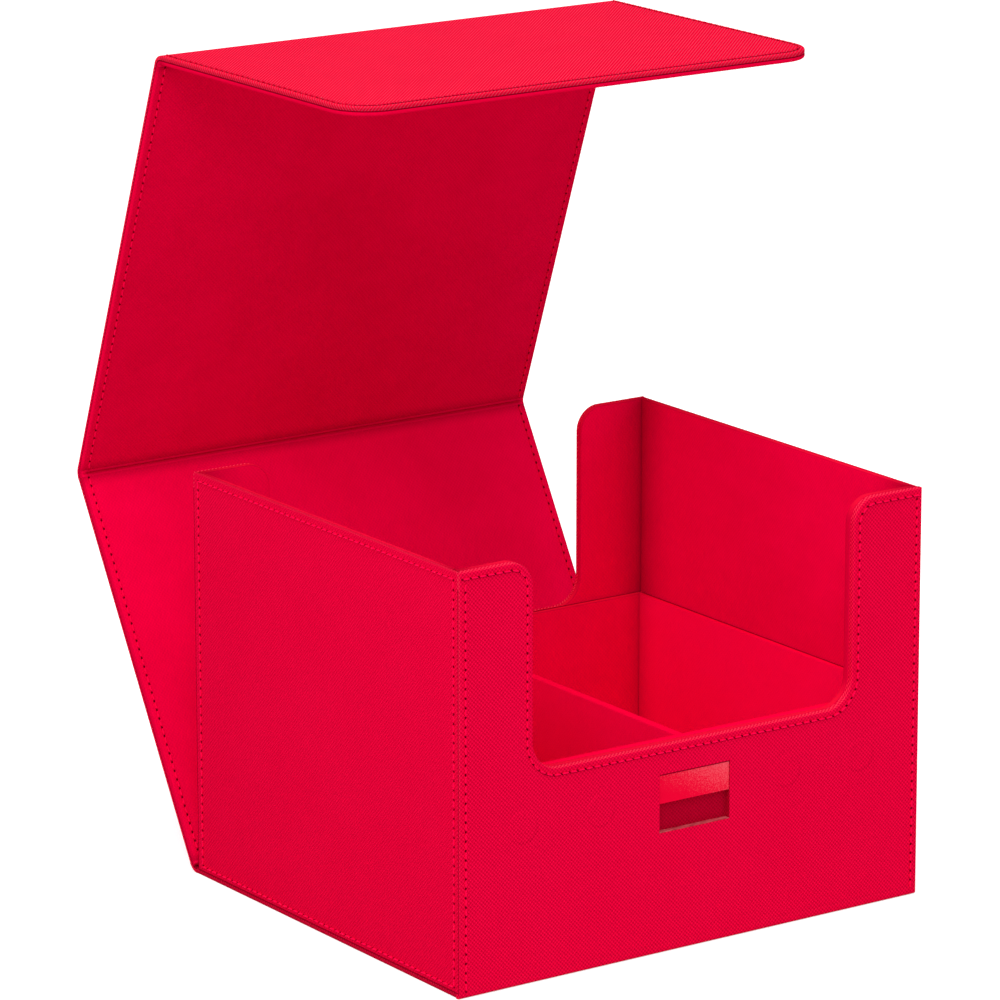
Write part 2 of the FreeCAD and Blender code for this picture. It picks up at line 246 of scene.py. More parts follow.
def cut_notch(piece, half, floor, grown):
    """Takes the U-shaped cut-out from the far edge and rounds its four corners."""
    for spot, normal in (((half, 0, 0), (1, 0, 0)), ((-half, 0, 0), (1, 0, 0)),
                         ((0, floor, 0), (0, 1, 0))):
        split(spot, normal)
    choose(piece, "faces", lambda f: abs(f.calc_center_median().x) < half
           and f.calc_center_median().y > floor)
    bpy.ops.mesh.delete(type="FACE")
    select_all()
    bpy.ops.mesh.dissolve_faces()
    choose(piece, "verts", lambda v: len(v.link_edges) == 2 and v.calc_edge_angle() < 0.01)
    bpy.ops.mesh.dissolve_verts()
    top = max(v.co.y for v in bmesh.from_edit_mesh(piece.data).verts)
    round_spots(piece, [(half, floor), (-half, floor)], NOTCH_ROUND + grown, 12)
    round_spots(piece, [(half, top), (-half, top)], SHOULDER_ROUND - grown, 12)


def round_spots(piece, spots, radius, steps):
    """Rounds corners of a flat outline."""
    choose(piece, "verts", lambda v: any(near(v.co.x, x) and near(v.co.y, y) for x, y in spots))
    bevel(radius, steps, "VERTICES")


def is_rim(edge, z):
    """An edge between a cap at the height z and a side."""
    flat = all(near(v.co.z, z) for v in edge.verts)
    return flat and len(edge.link_faces) == 2 and any(
        abs(f.normal.z) < 0.5 for f in edge.link_faces)


def groove(piece, z, distance):
    """A shallow sewn channel round the cap at the height z, a distance inside its rim."""
    choose(piece, "faces", lambda f: near(f.calc_center_median().z, z)
           and abs(f.normal.z) > 0.9)
    for thickness, depth in ((distance - GROOVE, 0.0), (GROOVE, -GROOVE_DEPTH),
                             (GROOVE, GROOVE_DEPTH), (GROOVE, 0.0)):
        bpy.ops.mesh.inset(thickness=thickness, depth=depth, use_even_offset=True)


def panel(name, low, high, z_outer, z_inner, rolls, ends=(), notch=None, corner=0.0,
          seam=None, seam_side="outer", recess=False, foot=0.0):
    """A flat panel between two corners of its own frame, with rolled rims.

    rolls are the rounds of the outer and the inner rim.  ends names the ends, low or high, that
    are cut square at a fold.  notch is how much wider than the skin's the cut-out is."""
    start = low[1] - (RUN_OFF if "low" in ends else 0)
    stop = high[1] + (RUN_OFF if "high" in ends else 0)
    piece = plane_outline(name, (low[0], start), (high[0], stop))
    if notch is not None:
        cut_notch(piece, NOTCH_HALF + notch, NOTCH_FLOOR - notch, notch)
    if corner:
        round_spots(piece, [(low[0], stop), (high[0], stop)], corner, 14)
    select_all()
    bpy.ops.transform.translate(value=(0, 0, z_outer))
    extrude(z_inner - z_outer)
    face_outwards()
    if foot:
        choose(piece, "edges", lambda e: is_rim(e, z_outer)
               and all(near(v.co.y, start) for v in e.verts))
        bevel(foot, 6)
    for z, roll in ((z_outer, rolls[0]), (z_inner, rolls[1])):
        choose(piece, "edges", lambda e: is_rim(e, z)
               and not (foot and all(v.co.y < start + foot + 1e-6 for v in e.verts)))
        bevel(roll, 4)
    if seam:
        z = z_outer if seam_side == "outer" else z_inner
        roll = rolls[0] if seam_side == "outer" else rolls[1]
        groove(piece, z, seam - roll)
    if recess:
        choose(piece, "faces", lambda f: near(f.calc_center_median().z, z_inner)
               and f.normal.z > 0.9)
        bpy.ops.mesh.inset(thickness=BOARD_MARGIN - rolls[1], depth=0.0)
        extrude(z_outer + SKIN - z_inner)
    if "low" in ends:
        trim(low[1], keep_above=True)
    if "high" in ends:
        trim(high[1], keep_above=False)
    face_outwards()
    mode("OBJECT")
    return piece


def trim(y, keep_above):
    """Cuts the piece square across at y and closes the cut."""
    split((0, y, 0), (0, 1, 0), use_fill=True, clear_inner=keep_above,
          clear_outer=not keep_above)


def cut_hole(piece, low, high):
    """Takes a box out of the piece, right through."""
    deselect()
    middle = [(a + b) / 2 for a, b in zip(low, high)]
    bpy.ops.mesh.primitive_cube_add(size=1, location=middle)
    cutter = bpy.context.object
    cutter.scale = [b - a for a, b in zip(low, high)]
    settle()
    pick(piece)
    hole = piece.modifiers.new("hole", "BOOLEAN")
    hole.object = cutter
    hole.operation = "DIFFERENCE"
    hole.solver = "EXACT"
    bpy.ops.object.modifier_apply(modifier=hole.name)
    bpy.data.objects.remove(cutter)


def lay_uv(piece, unroll=None, stretch=1.0):
    """A UV map in metres that unrolls the piece: across and along it, running on round rims."""
    mesh = piece.data
    layer = mesh.uv_layers.new(name="flat") if not mesh.uv_layers else mesh.uv_layers[0]
    layer.name = "flat"
    flat = [unroll(v.co) if unroll else v.co.copy() for v in mesh.vertices]
    for face in mesh.polygons:
        corners = [flat[i] for i in face.vertices]
        normal = Vector((0, 0, 0))
        for a, b in zip(corners, corners[1:] + corners[:1]):
            normal += (a - corners[0]).cross(b - corners[0])
        size = [abs(c) for c in normal]
        axis = size.index(max(size))
        side = 1 if normal[axis] > 0 else -1
        for loop, corner in zip(face.loop_indices, corners):
            u, v = corner.x, corner.y
            if axis == 0:
                u += side * corner.z
            elif axis == 1:
                v += side * corner.z
            layer.data[loop].uv = (u * stretch, v * stretch)


def mark_rim(piece, place, z_outer, unroll=None, depth=0.3 * MM, top=None, joints=(),
             shade=0.0, valley=None, highlight_focus=1.0):
    """Two attributes: rim is 0 on the faces of a panel and rises on its rolled rim, most where
    the rim looks up, as a painted highlight; joint is painted shade, which rises in the
    groove where the piece meets the next one.

    shade is how much painted shade darkens the whole rim, valley is the run on a fold's inner
    face that lies deepest in it, where a band of painted shade lies, and raising the upward
    look to a higher power, the last argument, keeps the painted highlight nearer to the top
    of the round."""
    rim_highlight = piece.data.attributes.new("rim", "FLOAT", "POINT")
    joint_shade = piece.data.attributes.new("joint", "FLOAT", "POINT")
    turn = place.to_3x3()
    for vertex, rim, joint in zip(piece.data.vertices, rim_highlight.data, joint_shade.data):
        z = (unroll(vertex.co) if unroll else vertex.co).z
        down = (z - z_outer) / depth
        if top is not None:
            down = min(down, (top - z) / depth)
        up = max(0.0, (turn @ vertex.normal).z) ** highlight_focus
        rim.value = min(1.0, max(0.0, down)) * (EDGE_HIGHLIGHT + (1 - EDGE_HIGHLIGHT) * up)
        away = min([abs(z - plane) for plane in joints], default=1.0)
        dark = max(shade * min(1.0, max(0.0, down)), (TUCK - away) / (0.4 * TUCK))
        if valley is not None and near(z, top, 0.9 * MM) and abs(vertex.co.x) < CREASE_END + 1e-6:
            dark = max(dark, 0.3 + 0.25 * (1 - abs(unroll(vertex.co).y - valley) / (WEB / 2)))
        joint.value = min(1.0, max(0.0, dark))


def mark_corner_shade(piece, axis, ends, reach, depth=1.0):
    """Splits a lining near its ends and marks how deep in the corner there each part lies, for
    painted shade that darkens the corner.
    """
    pick(piece)
    mode("EDIT")
    normal = Vector([float(i == axis) for i in range(3)])
    middle = sum(v.co[axis] for v in piece.data.vertices) / len(piece.data.vertices)
    for end in ends:
        inwards = 1 if middle > end else -1
        for share in (0.22, 0.45, 0.7, 1.0):
            split(normal * (end + inwards * share * reach), normal)
    mode("OBJECT")
    corner = piece.data.attributes.new("corner", "FLOAT", "POINT")
    for vertex, value in zip(piece.data.vertices, corner.data):
        away = min(abs(vertex.co[axis] - end) for end in ends)
        value.value = depth * max(0.0, 1 - away / reach) ** 1.6


def smooth(piece):
    pick(piece)
    bpy.ops.object.shade_smooth_by_angle(angle=math.radians(SMOOTH_ANGLE))


def put(piece, place):
    """Moves a finished mesh from its panel's frame to its place, leaving the object at zero."""
    piece.data.transform(place)
    piece.matrix_world = Matrix.Identity(4)


def paint(piece, material):
    piece.data.materials.clear()
    piece.data.materials.append(material)


def dress(piece, material, body, slot, replaced=()):
    """Gives a piece its material and the body that carries it, and hides the CAD nodes it stands
    for.
    """
    paint(piece, material)
    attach(piece, body)
    if replaced:
        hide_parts(*replaced)


def finish(piece, place, *dressing):
    smooth(piece)
    put(piece, place)
    dress(piece, *dressing)


# ---- materials

class Nodes:
    """A short way to write a node tree."""

    def __init__(self, name):
        self.material = bpy.data.materials.new(name)
        self.material.use_nodes = True
        self.tree = self.material.node_tree
        self.shader = self.tree.nodes["Principled BSDF"]

    def feed(self, socket, value):
        """Links another node's output to a socket, or sets the socket's plain value."""
        if isinstance(value, bpy.types.NodeSocket):
            self.tree.links.new(value, socket)
        else:
            socket.default_value = value

    def add(self, kind, inputs=(), **settings):
        node = self.tree.nodes.new(kind)
        for key, value in settings.items():
            setattr(node, key, value)
        for key, value in dict(inputs).items():
            self.feed(node.inputs[key], value)
        return node

    def where(self):
        """The shaded point in the box's frame."""
        return self.add("ShaderNodeTexCoord").outputs["Object"]

    def math(self, operation, a, b=0.0):
        return self.add("ShaderNodeMath", {0: a, 1: b}, operation=operation).outputs[0]

    def times(self, a, b):
        return self.math("MULTIPLY", a, b)

    def mix(self, factor, a, b):
        """A blend of two colours."""
        node = self.add("ShaderNodeMix", {0: factor, 6: a, 7: b}, data_type="RGBA")
        return node.outputs[2]

    def noise(self, vector, scale, detail, roughness):
        node = self.add("ShaderNodeTexNoise", {"Vector": vector, "Scale": scale,
                                               "Detail": detail, "Roughness": roughness})
        return node.outputs["Fac"]

    def surface(self, **values):
        for key, value in values.items():
            self.feed(self.shader.inputs[key.replace("_", " ")], value)

    def spread(self, value, low, high):
        """Maps a value from low..high to 0..1, clamped."""
        node = self.add("ShaderNodeMapRange", {"Value": value, "From Min": low, "From Max": high})
        return node.outputs[0]

    def attribute(self, name, share=None):
        """An attribute's value, or a share of it; a piece without it counts as 0."""
        value = self.add("ShaderNodeAttribute", attribute_name=name).outputs["Fac"]
        return value if share is None else self.times(value, share)

    def bump(self, height, distance, strength=1.0, normal=None):
        inputs = {"Height": height, "Distance": distance, "Strength": strength}
        if normal is not None:
            inputs["Normal"] = normal
        return self.add("ShaderNodeBump", inputs).outputs["Normal"]


def rgb(red, green, blue):
    """An sRGB colour, 0 to 255, as a linear colour with alpha."""
    def linear(c):
        c /= 255
        return c / 12.92 if c <= 0.04045 else ((c + 0.055) / 1.055) ** 2.4
    return (linear(red), linear(green), linear(blue), 1.0)


def emboss_height(nodes, lean=0.0, low=-0.8, high=0.8):
    """The embossed grid's height, 0 to 1; lean turns it from crossed ridges to one diagonal."""
    flat = nodes.add("ShaderNodeUVMap", uv_map="flat").outputs[0]
    parts = nodes.add("ShaderNodeSeparateXYZ", {0: flat})
    across, along = (nodes.times(parts.outputs[i], math.tau / EMBOSS) for i in (0, 1))
    grid = nodes.times(nodes.math("COSINE", across), nodes.math("COSINE", along))
    if lean:
        twist = nodes.times(nodes.math("SINE", across), nodes.math("SINE", along))
        grid = nodes.math("SUBTRACT", grid, nodes.times(twist, lean))
    return nodes.spread(grid, low, high)


MAGNET_PLACES = [(side * spot, MAGNET_HEIGHT) for side in (-1, 1) for spot in MAGNET_SPOTS]


def magnet_relief(nodes, where):
    """The faint raised rounds that the magnets press into the front wall's skin."""
    parts = nodes.add("ShaderNodeSeparateXYZ", {0: where})
    relief = None
    for x, z in MAGNET_PLACES:
        across = nodes.math("SUBTRACT", parts.outputs[0], x)
        along = nodes.math("SUBTRACT", parts.outputs[2], z)
        away = nodes.math("SQRT", nodes.math("ADD", nodes.times(across, across),
                                             nodes.times(along, along)))
        disc = nodes.spread(away, MAGNET_RADIUS + MAGNET_EDGE, MAGNET_RADIUS - MAGNET_EDGE)
        relief = disc if relief is None else nodes.math("MAXIMUM", relief, disc)
    return relief


# painted shade: the dark colour put in joints, fold creases and shaded rims, and how strongly it
# and the corner shade darken a piece
JOINT_SHADE_COLOUR = (132, 0, 26)
JOINT_SHADE_SHARE = 0.9           # how far the painted shade of a joint turns a piece to its dark colour
CORNER_SHADE_SHARE = 0.55


def leatherette(name, valley, top, magnets=False, lean=0.0, low=-0.8, high=0.8):
    nodes = Nodes(name)
    where = nodes.where()
    bumps = emboss_height(nodes, lean, low, high)
    rim = nodes.attribute("rim")
    drift = nodes.noise(where, 35.0, 3.0, 0.55)
    grain = nodes.noise(where, 2600.0, 2.0, 0.6)
    # the emboss's valleys get painted shade and its ridges a painted highlight
    deep = nodes.mix(drift, rgb(*valley), rgb(valley[0] + 6, valley[1], valley[2] + 4))
    raised = nodes.mix(drift, rgb(*top), rgb(min(255, top[0] + 3), top[1] + 8, top[2] + 6))
    colour = nodes.mix(bumps, deep, raised)
    # painted highlight on the rolled rims, on the emboss's ribs and most where the rim looks up
    rim_highlight = nodes.times(rim, nodes.spread(bumps, 0.35, 0.95))
    colour = nodes.mix(nodes.times(rim_highlight, 0.75), colour, rgb(255, 70, 96))
    # painted shade in joints, fold creases and shaded rims
    colour = nodes.mix(nodes.attribute("joint", JOINT_SHADE_SHARE), colour, rgb(*JOINT_SHADE_COLOUR))
    height = nodes.math("ADD", bumps, nodes.times(grain, 0.1))
    normal = nodes.bump(height, 0.2 * MM, 1.0)
    if magnets:
        normal = nodes.bump(magnet_relief(nodes, where), 0.3 * MM, 0.8, normal)
    nodes.surface(Base_Color=colour, Roughness=0.55, Specular_IOR_Level=0.0, Normal=normal)
    return nodes.material


def suede(name, dark, light, weave_share, rolled=(192, 0, 43), rolled_up=(230, 14, 54)):
    nodes = Nodes(name)
    where = nodes.where()
    clouds = nodes.noise(where, 16.0, 4.0, 0.62)
    strokes_at = nodes.add("ShaderNodeMapping", {"Vector": where, "Scale": (1.0, 0.55, 1.6),
                                                 "Rotation": (0.5, 0.3, 0.7)}).outputs[0]
    strokes = nodes.noise(strokes_at, 55.0, 5.0, 0.65)
    nap = nodes.noise(where, 1500.0, 3.0, 0.7)
    weave = emboss_height(nodes)
    rim = nodes.attribute("rim")
    tone = nodes.math("ADD", nodes.times(nodes.spread(clouds, 0.3, 0.7), 0.6),
                      nodes.times(nodes.spread(strokes, 0.3, 0.7), 0.4))
    colour = nodes.mix(tone, rgb(*dark), rgb(*light))
    fine = nodes.math("ADD", nodes.times(nap, 0.35),
                      nodes.times(weave, 0.65))
    deep = nodes.math("SUBTRACT", 1.0, nodes.spread(fine, 0.2, 0.8))
    colour = nodes.mix(nodes.times(deep, weave_share), colour, rgb(186, 0, 44))
    # painted shade on the rolled rims, then a painted highlight where they look up
    colour = nodes.mix(nodes.times(nodes.spread(rim, 0.0, 0.12), 0.6), colour,
                       rgb(*rolled))
    colour = nodes.mix(nodes.spread(rim, 0.3, 0.8), colour, rgb(*rolled_up))
    # painted shade that darkens the lining towards its corners
    colour = nodes.mix(nodes.attribute("corner", CORNER_SHADE_SHARE), colour, rgb(120, 0, 22))
    # painted shade in joints, fold creases and shaded rims
    colour = nodes.mix(nodes.attribute("joint", JOINT_SHADE_SHARE), colour, rgb(*JOINT_SHADE_COLOUR))
    nodes.surface(Base_Color=colour, Roughness=0.95, Specular_IOR_Level=0.002,
                  Normal=nodes.bump(fine, 0.12 * MM, 0.5))
    return nodes.material


def thread(name, dark, light):
    nodes = Nodes(name)
    where = nodes.where()
    ply = nodes.noise(where, 3800.0, 2.0, 0.5)
    colour = nodes.mix(ply, rgb(*dark), rgb(*light))
    nodes.surface(Base_Color=colour, Roughness=0.5, Specular_IOR_Level=0.01,
                  Normal=nodes.bump(ply, 0.1 * MM, 0.5))
    return nodes.material


def matt(name, dark, light):
    """The dull dark red of painted shade in needle holes, under stitches and deep in a joint."""
    nodes = Nodes(name)
    where = nodes.where()
    fray = nodes.noise(where, 3000.0, 2.0, 0.5)
    nodes.surface(Base_Color=nodes.mix(fray, rgb(*dark), rgb(*light)), Roughness=0.9,
                  Specular_IOR_Level=0.0)
    return nodes.material


def cut_edge():
    """The bare pressed edge of the card along the window's sill."""
    nodes = Nodes("cut_edge")
    where = nodes.where()
    streaks_at = nodes.add("ShaderNodeMapping", {"Vector": where,
                                                 "Scale": (260.0, 3800.0, 3800.0)}).outputs[0]
    streaks = nodes.noise(streaks_at, 1.0, 3.0, 0.6)
    nodes.surface(Base_Color=nodes.mix(nodes.spread(streaks, 0.38, 0.62), rgb(146, 22, 40),
                                       rgb(208, 88, 98)),
                  Roughness=0.7, Specular_IOR_Level=0.2)
    return nodes.material


def greyboard():
    nodes = Nodes("greyboard")
    where = nodes.where()
    pulp = nodes.noise(where, 420.0, 5.0, 0.7)
    nodes.surface(Base_Color=nodes.mix(pulp, rgb(150, 142, 134), rgb(186, 180, 172)),
                  Roughness=0.9, Normal=nodes.bump(pulp, 0.1 * MM, 0.4))
    return nodes.material


def plate_metal():
    """Fine-blasted coated metal, with a painted reflection that lightens it towards its upper
    right corner.
    """
    nodes = Nodes("plate_metal")
    where = nodes.where()
    parts = nodes.add("ShaderNodeSeparateXYZ", {0: where})
    blast = nodes.noise(where, 1900.0, 2.0, 0.6)
    reflection_slope = nodes.math("ADD", nodes.times(parts.outputs[0], 22.0),
                       nodes.times(nodes.math("SUBTRACT", parts.outputs[2], 0.062),
                                  45.0))
    specks = nodes.times(nodes.spread(blast, 0.4, 0.62), 0.55)
    tone = nodes.math("ADD", specks, reflection_slope)
    colour = nodes.mix(nodes.spread(tone, 0.2, 1.05), rgb(242, 0, 52), rgb(252, 92, 108))
    nodes.surface(Base_Color=colour, Metallic=0.0,
                  Roughness=nodes.math("ADD", nodes.times(blast, 0.2), 0.5),
                  Specular_IOR_Level=0.02, Normal=nodes.bump(blast, 0.08 * MM, 0.6))
    return nodes.material


def magnet_steel():
    nodes = Nodes("magnet_steel")
    where = nodes.where()
    brush = nodes.noise(where, 900.0, 3.0, 0.6)
    nodes.surface(Base_Color=nodes.mix(brush, rgb(150, 150, 154), rgb(196, 196, 200)),
                  Metallic=1.0, Roughness=0.35, Normal=nodes.bump(brush, 0.03 * MM, 0.3))
    return nodes.material


LEATHERETTE = leatherette("leatherette", (219, 0, 48), (240, 5, 61), lean=0.5)
# painted light: the front wall gets a copy with darker valleys and brighter ridges, for how light
# falls on it
FRONT_LEATHERETTE = leatherette("leatherette_front", (204, 0, 44), (255, 4, 66), magnets=True)
# painted sheen: the flap's copy has pink ridges
FLAP_LEATHERETTE = leatherette("leatherette_flap", (238, 0, 48), (240, 62, 92), lean=1.0,
                               low=0.1, high=1.0)
# painted shade: a darker copy of the leatherette for the window's recess
WINDOW_LEATHERETTE_SHADED = leatherette("leatherette_window", (158, 0, 31), (192, 0, 42))
SUEDE = suede("suede", (237, 0, 62), (252, 0, 72), 0.15)
# painted light: the insert's suede is a lighter copy and the lid's, also used on the flap, a
# darker copy, for how light falls on them
INSERT_SUEDE = suede("suede_insert", (252, 0, 68), (255, 4, 78), 0.08, (242, 0, 58), (242, 0, 56))
LID_SUEDE = suede("suede_lid", (222, 0, 54), (240, 0, 64), 0.26, (242, 0, 56))
THREAD = thread("thread", (255, 0, 60), (255, 6, 82))
# painted shade: a darker copy of the thread for the brightly lit flap
FLAP_THREAD = thread("thread_flap", (208, 10, 50), (226, 18, 58))
LINING_THREAD = thread("thread_lining", (244, 0, 62), (255, 0, 74))
CUT_EDGE = cut_edge()
STITCH_SHADE = matt("needle_hole", (92, 0, 18), (128, 0, 26))
SHADOW_STRIP = matt("glue", (146, 0, 30), (166, 0, 36))
GREYBOARD = greyboard()
PLATE_METAL = plate_metal()
MAGNET_STEEL = magnet_steel()


# ---- sewing

def rounded_path(corners, radii, closed):
    """Points along straight runs joined by arcs at the corners."""
    count = len(corners)
    points = []
    for k, (corner, radius) in enumerate(zip(corners, radii)):
        here = Vector(corner)
        if not closed and k in (0, count - 1):
            points.append(here)
            continue
        before = (Vector(corners[k - 1]) - here).normalized()
        after = (Vector(corners[(k + 1) % count]) - here).normalized()
        if radius <= 0:
            points.append(here)
            continue
        half = math.acos(max(-1, min(1, before.dot(after)))) / 2
        centre = here + (before + after).normalized() * (radius / math.sin(half))
        first = here + before * (radius / math.tan(half)) - centre
        sweep = math.pi - 2 * half
        if before.cross(after) > 0:
            sweep = -sweep
        steps = max(4, int(abs(sweep) * radius / ARC_STEP))
        for n in range(steps + 1):
            turned = Matrix.Rotation(sweep * n / steps, 2) @ first
            points.append(centre + turned)
    if closed:
        points.append(points[0])
    return points


def walk(points, pitch):
    """Evenly spaced spots along a path: each a point and a direction."""
    runs = [(b - a).length for a, b in zip(points, points[1:])]
    total = sum(runs)
    count = max(1, round(total / pitch))
    spots = []
    for n in range(count):
        target = (n + 0.5) * total / count
        k = 0
        while target > runs[k]:
            target -= runs[k]
            k += 1
        way = (points[k + 1] - points[k]).normalized()
        spots.append((points[k] + way * target, way))
    return spots


def thread_dash():
    """One stitch: a plump dash whose ends dive into the holes."""
    deselect()
    bpy.ops.mesh.primitive_cylinder_add(vertices=8, radius=0.35 * MM, depth=2.5 * MM,
                                        rotation=(0, math.pi / 2, 0))
    dash = bpy.context.object
    settle()
    mode("EDIT")
    for x in (0.7 * MM, -0.7 * MM):
        split((x, 0, 0), (1, 0, 0))
    choose(dash, "verts", lambda v: abs(v.co.x) > 1.0 * MM)
    bpy.ops.transform.resize(value=(1, 0.7, 0.6))
    bpy.ops.transform.translate(value=(0, 0, 0.3 * MM))
    mode("OBJECT")
    return dash


def needle_dent():
    """One needle hole: a small disc, dark with painted shade, drawn in at its middle."""
    deselect()
    bpy.ops.mesh.primitive_circle_add(vertices=8, radius=0.42 * MM, fill_type="NGON")
    dent = bpy.context.object
    mode("EDIT")
    select_all()
    extrude(0.12 * MM)
    face_outwards()
    mode("OBJECT")
    return dent


def repeat(name, model, placements):
    """Many copies of a small model, each with its own mesh, joined into one piece."""
    base = np.array([v.co for v in model.data.vertices])
    faces = [tuple(face.vertices) for face in model.data.polygons]
    points = []
    polygons = []
    for placement in placements:
        matrix = np.array(placement)
        shift = len(points) * len(base)
        points.append(base @ matrix[:3, :3].T + matrix[:3, 3])
        polygons += [tuple(i + shift for i in face) for face in faces]
    mesh = bpy.data.meshes.new(name)
    mesh.from_pydata(np.concatenate(points).tolist(), [], polygons)
    mesh.update()
    piece = bpy.data.objects.new(name, mesh)
    bpy.context.scene.collection.objects.link(piece)
    for face in mesh.polygons:
        face.use_smooth = True
    return piece


STITCH_SHADOW_SIZE = Matrix.Diagonal((1.12, 0.45, 0.6, 1.0))
DASH = thread_dash()
DENT = needle_dent()


def sew(name, place, body, slot, path, z, outward, material=None, shadow=None):
    """A row of stitches along a path drawn on a panel's face at the height z.

    shadow is which way along the panel the painted shadow under each stitch lies, if it shows: a
    dark copy of the stitch."""
    spots = walk(path, STITCH)
    half = STITCH / 2
    dash_places = []
    hole_places = []
    shadow_places = []
    for spot, way in spots:
        across = Vector((-way.y, way.x, 0))
        up = Vector((0, 0, -1 if outward else 1))
        if outward:
            across = -across
        turn = Matrix((Vector((way.x, way.y, 0)), across, up)).transposed().to_4x4()
        at = Vector((spot.x, spot.y, z))
        dash_places.append(place @ Matrix.Translation(at + up * 0.12 * MM) @ turn)
        # painted shadow: a dark, flattened copy of the stitch just beside it
        if shadow and abs(way.x) > 0.5:
            shadow_spot = at + Vector((0, shadow * 0.36 * MM, 0)) - up * 0.06 * MM
            shadow_places.append(place @ Matrix.Translation(shadow_spot) @ turn @ STITCH_SHADOW_SIZE)
        hole = at + Vector((way.x, way.y, 0)) * half
        hole_places.append(place @ Matrix.Translation(hole - up * 0.1 * MM) @ turn)
    threads = repeat(name + "_thread", DASH, dash_places)
    dress(threads, material or THREAD, body, slot)
    if shadow_places:
        stitch_shadows = repeat(name + "_lips", DASH, shadow_places)
        dress(stitch_shadows, STITCH_SHADE, body, slot)
    holes = repeat(name + "_holes", DENT, hole_places)
    dress(holes, STITCH_SHADE, body, slot)


# ---- case

def notched_corners(low, high, inset):
    """Corners and rounds of a notched wall's outline, drawn in by a seam's inset."""
    notch = NOTCH_HALF + inset
    floor = NOTCH_FLOOR - inset
    top = high.y - inset
    side = high.x - inset
    points = [(-side, low.y + inset), (-side, top), (-notch, top), (-notch, floor),
              (notch, floor), (notch, top), (side, top), (side, low.y + inset)]
    return points, [0, 0, SHOULDER_ROUND - inset, NOTCH_ROUND + inset, NOTCH_ROUND + inset,
                    SHOULDER_ROUND - inset, 0, 0]


NOTCHED_SEAM = 2.65 * MM
SIDE_SEAM = 2.85 * MM
SIDE_FRONT_SEAM = 2.35 * MM
SIDE_REAR_SEAM = 3.4 * MM
SIDE_FOOT_SEAM = 1.9 * MM
COVER_SEAM = 3.0 * MM
FLAP_SEAM = 2.3 * MM

WINDOW_SILL = 45.9 * MM
plate_low, plate_high = local_box("nameplate", PLACES["front"])
WINDOW_LOW = Vector((plate_low.x - 0.1 * MM, WINDOW_SILL, 0))
WINDOW_HIGH = Vector((plate_high.x + 0.1 * MM, plate_high.y + 0.3 * MM, plate_high.z))


def skin_box(name):
    """The box of a wall's skin in the wall's own frame, as far as the skin shows."""
    low, high = local_box(name + "_skin", PLACES[name])
    if name in ("left", "right"):
        front = front_high.y - front_low.y - COVERING
        rear = rear_high.y - rear_low.y - COVERING
        low.x -= rear if name == "right" else front
        high.x += front if name == "right" else rear
    else:
        low.x += TUCKED
        high.x -= TUCKED
    low.y = min(low.y, BASE_EDGE)
    return low, high


def make_wall(name, material):
    place = PLACES[name]
    low, high = skin_box(name)
    notched = name in ("front", "rear")
    skin = panel(name + "_leather", low, high, low.z, high.z, (ROLL, TUCK),
                 notch=0.0 if notched else None, seam=NOTCHED_SEAM if notched else None,
                 recess=True, foot=FOOT_ROLL if name == "front" else 0.0)
    if name == "front":
        spare = Vector((0, 0, 1 * MM))
        cut_hole(skin, WINDOW_LOW - spare, WINDOW_HIGH + spare)
    lay_uv(skin, stretch=1.0 if notched else SIDE_STRETCH)
    # the side walls' rims get painted shade
    mark_rim(skin, place, low.z, shade=0.0 if notched else 0.3, highlight_focus=1.0 if notched else 1.6)
    finish(skin, place, material, "case", "leatherette", [name + "_skin"])

    inner_low, inner_high = local_box(name + "_lining", place)
    lining = panel(name + "_suede", inner_low, inner_high, inner_low.z, inner_high.z,
                   (TUCK, LINING_ROLL), notch=0.0 if notched else None)
    lay_uv(lining)
    mark_corner_shade(lining, 0, (-inner_high.x, inner_high.x), WALL_CORNER)
    mark_rim(lining, place, inner_low.z, top=inner_high.z)
    finish(lining, place, SUEDE, "case", "suede_lining", [name + "_lining"])

    if notched:
        corners, radii = notched_corners(low, high, NOTCHED_SEAM)
    else:
        foot, top = low.y + SIDE_FOOT_SEAM, high.y - SIDE_SEAM
        insets = (SIDE_FRONT_SEAM, SIDE_REAR_SEAM)
        before, after = insets if name == "left" else insets[::-1]
        near_side, far_side = low.x + before, high.x - after
        corners = [(near_side, foot), (near_side, top), (far_side, top), (far_side, foot)]
        radii = [0, 0, 0, 0]
    sew(name + "_seam", place, "case", "leatherette",
        rounded_path(corners, radii, closed=not notched), low.z, outward=True,
        shadow=-1 if notched else None)


make_wall("front", FRONT_LEATHERETTE)
make_wall("rear", LEATHERETTE)
make_wall("left", LEATHERETTE)
make_wall("right", LEATHERETTE)

CASE_FAR = CREASES["rear_crease_low"].y - front_high.y  # where the bottom panel meets the fold
place = PLACES["bottom"]
low, high = local_box("bottom_skin", place)
bottom = panel("bottom_leather", (low.x + TUCKED, low.y), (high.x - TUCKED, CASE_FAR), low.z,
               BASE_EDGE, (ROLL, ROLL), ends=("high",), recess=True)
lay_uv(bottom)
# painted shade over the bottom's rim and in the groove under the side walls
mark_rim(bottom, place, low.z, joints=[BASE_EDGE], shade=0.5)
finish(bottom, place, LEATHERETTE, "case", "leatherette", ["bottom_skin"])

low, high = local_box("floor_lining", place)
floor = panel("floor_suede", low, high, low.z, high.z, (TUCK, TUCK))
lay_uv(floor)
mark_rim(floor, place, low.z, top=high.z)
finish(floor, place, SUEDE, "case", "suede_lining", ["floor_lining"])


